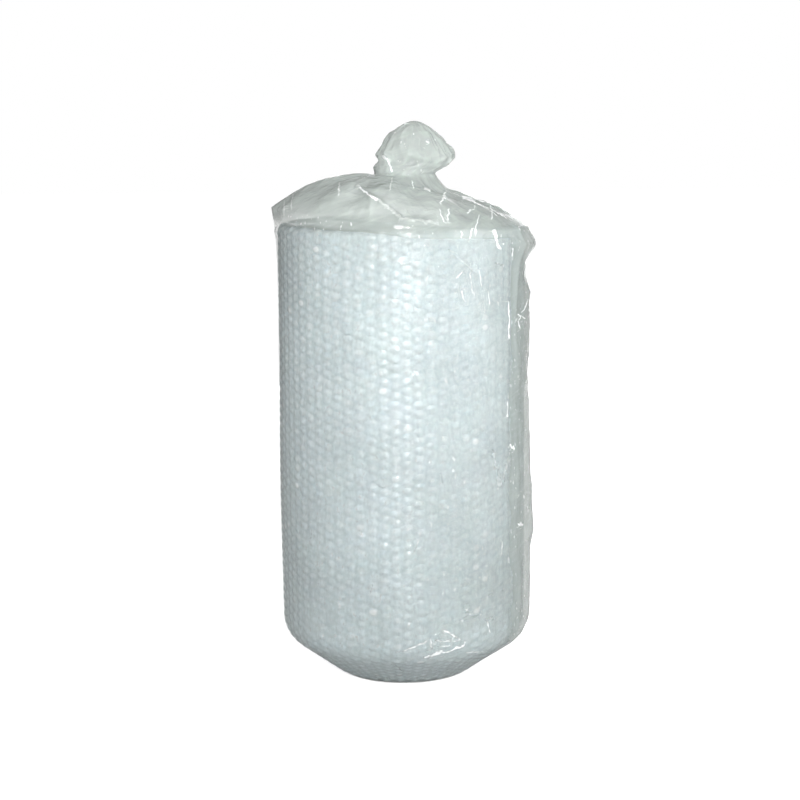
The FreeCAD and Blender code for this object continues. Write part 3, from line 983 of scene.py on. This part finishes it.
    def knot(self, angle: np.ndarray, share: np.ndarray, noise: PatchNoise) -> tuple[np.ndarray, np.ndarray]:
        """Knot, from the neck at share 0 to the crown at share 1.

        Its width and middle follow the knot outline. Lobes and creases stand off it, strongest at its waist.

        Args:
            angle: Azimuth in degrees.
            share: Share of the way up.
            noise: Noise for the lobes.

        Returns:
            Points and haze.
        """
        around = angle / 360
        turn = np.radians(angle)
        table = np.array(self.knot_outline) * MM
        spacing = np.linspace(0, 1, len(table))
        height = np.interp(share, spacing, table[:, 0])
        middle = np.interp(share, spacing, table[:, 1])
        half = np.interp(share, spacing, table[:, 2])
        lobes = noise.creases(around + 0.08 * share, share, (8, 3), 2)
        fine = noise.creases(around - 0.05 * share, share, (21, 7), 2)
        strength = np.sin(math.pi * np.clip(share, 0, 1)) ** 0.7
        round_width = half * (1 + strength * (0.17 * (lobes - 0.5) + 0.10 * (fine - 0.5)))
        depth = 1 - 0.2 * ramp(share, 0, 0.3)
        height = height + 4 * MM * strength * (lobes - 0.5)
        points = np.stack([middle + round_width * np.cos(turn), depth * round_width * np.sin(turn), height], -1)
        return points, np.clip(0.8 + 0.4 * (fine - 0.5), 0, 1)

    def crease(
        self, rings: np.ndarray, haze: np.ndarray, noise: PatchNoise
    ) -> tuple[np.ndarray, np.ndarray, np.ndarray]:
        """Press the creases into the skin: the named ones, then small stray ones where the film is loose.

        Args:
            rings: Points by ring and azimuth.
            haze: Haze of each point.
            noise: Noise whose draws place the stray creases.

        Returns:
            Moved points, reach beside the nearest crease and its whiteness, which is partly the film's own whitening
            at folds and partly painted highlight.
        """
        first = sum(self.ring_counts[:1])
        last = sum(self.ring_counts[:3])
        creases = list(CREASES)
        across = np.linalg.norm(rings[..., :2], axis=-1)
        for _ in range(self.stray_creases):
            ring = int(noise.draws.integers(first + 8, last))
            column = int(noise.draws.integers(0, self.around_count))
            keep = 0.12 + 0.9 * haze[ring, column]
            lean = noise.draws.normal(0, 5.0)
            length = noise.draws.uniform(4, 16)
            # Stray creases get a random whiteness, which paints small highlights where the film is loose.
            white = noise.draws.uniform(0.12, 0.6)
            if noise.draws.random() > keep:
                continue
            x, _, z = rings[ring, column] / MM
            creases.append(Crease((x, z), (x + lean, z - length), noise.draws.uniform(0.5, 1.0), 0.8, white, 4.0))
        white = np.zeros(haze.shape)
        reach = np.full(haze.shape, 20.0)
        lift = np.zeros(haze.shape)
        for crease in creases:
            side, near = crease.across(rings)
            mine = near * crease.white > white
            white = np.where(mine, near * crease.white, white)
            reach = np.where(mine, side, reach)
            broad = side * crease.width / max(crease.width, 3.0)
            lift = lift + crease.lift * MM * near * np.exp(-(broad**2))
        outward = rings[..., :2] / np.maximum(across, MM)[..., None]
        moved = rings.copy()
        moved[..., :2] += 0.7 * lift[..., None] * outward
        moved[..., 2] += np.where(np.arange(len(rings))[:, None] >= sum(self.ring_counts[:2]), 0.7 * lift, 0)
        return moved, reach, white

    def build(self) -> list[bpy.types.Object]:
        """The bag as one closed skin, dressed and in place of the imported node."""
        noise = PatchNoise(self.seed)
        foot_count, wall_count, shoulder_count, knot_count = self.ring_counts
        step = np.arange(self.around_count) / self.around_count
        angle = (360 * step - 90 - self.front_crowding * np.sin(TURN * step))[None, :]
        foot_share = np.linspace(0, 1, foot_count + 2)[1:-1, None]
        foot_radius = self.outline().foot_radius * foot_share + 0 * angle
        turn = np.radians(angle)
        foot = np.stack([foot_radius * np.cos(turn), foot_radius * np.sin(turn), 0 * foot_radius], -1)
        height = self.crease_height * np.linspace(0, 1, wall_count)[:, None] ** 0.97 + 0 * angle
        wall, wall_haze = self.wall(angle + 0 * height, height, noise)
        share = np.linspace(0, 1, shoulder_count + 1)[1:, None] + 0 * angle
        shoulder, shoulder_haze = self.shoulder(angle + 0 * share, share, wall[-1][None] + 0 * share[..., None], noise)
        knot_share = np.linspace(0, 1, knot_count + 2)[1:-1, None] + 0 * angle
        knot, knot_haze = self.knot(angle + 0 * knot_share, knot_share, noise)
        rings = np.concatenate([foot, wall, shoulder, knot])
        haze = np.concatenate([0.3 + 0 * foot_radius, wall_haze, shoulder_haze, knot_haze])
        rings, reach, white = self.crease(rings, haze, noise)
        count = rings.shape[0]
        ids = np.arange(count * self.around_count).reshape(count, self.around_count)
        faces = [ring_strip(ids[index], ids[index + 1]) for index in range(count - 1)]
        crown = rings[-1].mean(axis=0)
        crown[2] += 0.6 * MM
        points = np.concatenate([rings.reshape(-1, 3), [[0, 0, 0]], [crown]])
        pole = count * self.around_count
        after = np.roll(np.arange(self.around_count), -1)
        faces.append(np.stack([np.full(self.around_count, pole), ids[0][after], ids[0]], -1))
        faces.append(np.stack([np.full(self.around_count, pole + 1), ids[-1], ids[-1][after]], -1))
        shades = {
            "haze": np.append(haze, (0.3, 0.9)),
            # Whiteness along the creases: partly the film's whitening at folds, partly painted highlight.
            "crease": np.append(white, (0, 0)),
            "reach": np.append(reach, (20, 20)),
        }
        piece = add_mesh("bag", points, faces, shades)
        piece.data.materials.append(self.finish.build())
        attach(piece, "root")
        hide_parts("film_bag")
        return [piece]


@dataclass
class Studio:
    """Plain white floor, soft lamps and the camera."""

    camera_place: tuple[float, float, float] = (-0.0033, -2.4, 0.767)
    pitch: float = 9.55
    lean: float = -0.48
    focal_pixels: float = 1828.0
    image_width: float = 800.0
    middle_row: float = 399.8

    def floor(self) -> None:
        """White floor that keeps a soft shadow and reads as white to the camera."""
        mesh = bpy.data.meshes.new("floor")
        reach = 12.0
        mesh.from_pydata([(-reach, -reach, 0), (reach, -reach, 0), (reach, reach, 0), (-reach, reach, 0)], [], [(0, 1, 2, 3)])
        floor = bpy.data.objects.new("floor", mesh)
        bpy.context.scene.collection.objects.link(floor)
        material = bpy.data.materials.new("floor_white")
        material.use_nodes = True
        tree = material.node_tree
        shader = tree.nodes["Principled BSDF"]
        shader.inputs["Base Color"].default_value = (0.70, 0.70, 0.70, 1)
        shader.inputs["Roughness"].default_value = 0.9
        shader.inputs["Specular IOR Level"].default_value = 0.0
        path = tree.nodes.new("ShaderNodeLightPath")
        lift = tree.nodes.new("ShaderNodeMath")
        lift.operation = "MULTIPLY"
        lift.inputs[1].default_value = 0.86
        tree.links.new(path.outputs["Is Camera Ray"], lift.inputs[0])
        shader.inputs["Emission Color"].default_value = (1, 1, 1, 1)
        tree.links.new(lift.outputs["Value"], shader.inputs["Emission Strength"])
        floor.data.materials.append(material)

    def world(self) -> None:
        """Even pale light all round, seen as white by the camera."""
        world = bpy.data.worlds.new("studio")
        bpy.context.scene.world = world
        world.use_nodes = True
        tree = world.node_tree
        back = tree.nodes["Background"]
        back.inputs["Color"].default_value = (1, 1, 1, 1)
        path = tree.nodes.new("ShaderNodeLightPath")
        strength = tree.nodes.new("ShaderNodeMapRange")
        strength.inputs["To Min"].default_value = 0.25
        strength.inputs["To Max"].default_value = 1.0
        tree.links.new(path.outputs["Is Camera Ray"], strength.inputs["Value"])
        tree.links.new(strength.outputs["Result"], back.inputs["Strength"])

    def lamp(self, name: str, place: tuple, size: float, power: float, spread: float = 180, aim: float = 0.42) -> None:
        """Square area lamp that faces the axis of the roll.

        Args:
            name: Name of the lamp.
            place: Where it stands.
            size: Length of its side.
            power: Watts.
            spread: Angle of its beam in degrees.
            aim: Height on the axis that it faces.
        """
        light = bpy.data.lights.new(name, "AREA")
        light.size = size
        light.energy = power
        light.spread = math.radians(spread)
        lamp = bpy.data.objects.new(name, light)
        lamp.location = place
        lamp.rotation_euler = (Vector((0, 0, aim)) - Vector(place)).to_track_quat("-Z", "Y").to_euler()
        bpy.context.scene.collection.objects.link(lamp)

    def camera(self) -> None:
        """Camera at the photograph's angle, with the lean of its frame."""
        data = bpy.data.cameras.new("camera")
        data.sensor_width = 36.0
        data.lens = self.focal_pixels * data.sensor_width / self.image_width
        data.shift_y = (self.middle_row - self.image_width / 2) / self.image_width
        camera = bpy.data.objects.new("camera", data)
        bpy.context.scene.collection.objects.link(camera)
        tilt = Euler((math.radians(90 - self.pitch), 0, 0)).to_matrix().to_4x4()
        roll = Matrix.Rotation(math.radians(self.lean), 4, "Z")
        camera.matrix_world = Matrix.Translation(self.camera_place) @ tilt @ roll
        bpy.context.scene.camera = camera

    def build(self) -> None:
        """Floor, world, lamps and camera."""
        self.floor()
        self.world()
        self.lamp("front_lamp", (0.12, -2.0, 0.95), 0.30, 3.3, 50, 0.53)
        self.lamp("left_lamp", (-1.9, -1.0, 1.1), 1.0, 7.0)
        self.lamp("right_lamp", (1.9, -0.8, 1.0), 1.0, 18.0)
        self.lamp("top_lamp", (0.2, 0.2, 2.2), 1.2, 6.0)
        self.lamp("back_lamp", (0.2, 2.4, 0.5), 1.2, 15.0)
        self.lamp("low_lamp", (0.0, -1.5, 0.06), 0.5, 0.45, 60, -0.05)
        self.camera()


def main() -> None:
    """Build the studio, the roll and the bag, and keep the sizes of both models."""
    logging.basicConfig(level=logging.INFO, format="%(name)s: %(message)s")
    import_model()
    bpy.context.scene.view_settings.view_transform = "Standard"
    Studio().build()
    roll = BubbleRoll(*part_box("bubble_roll"))
    bag = FilmBag(*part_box("film_bag"))
    for piece in roll.build() + bag.build():
        triangles = sum(len(polygon.vertices) - 2 for polygon in piece.data.polygons)
        LOG.info("%s: %d triangles", piece.name, triangles)


if __name__ == "__main__":
    main()
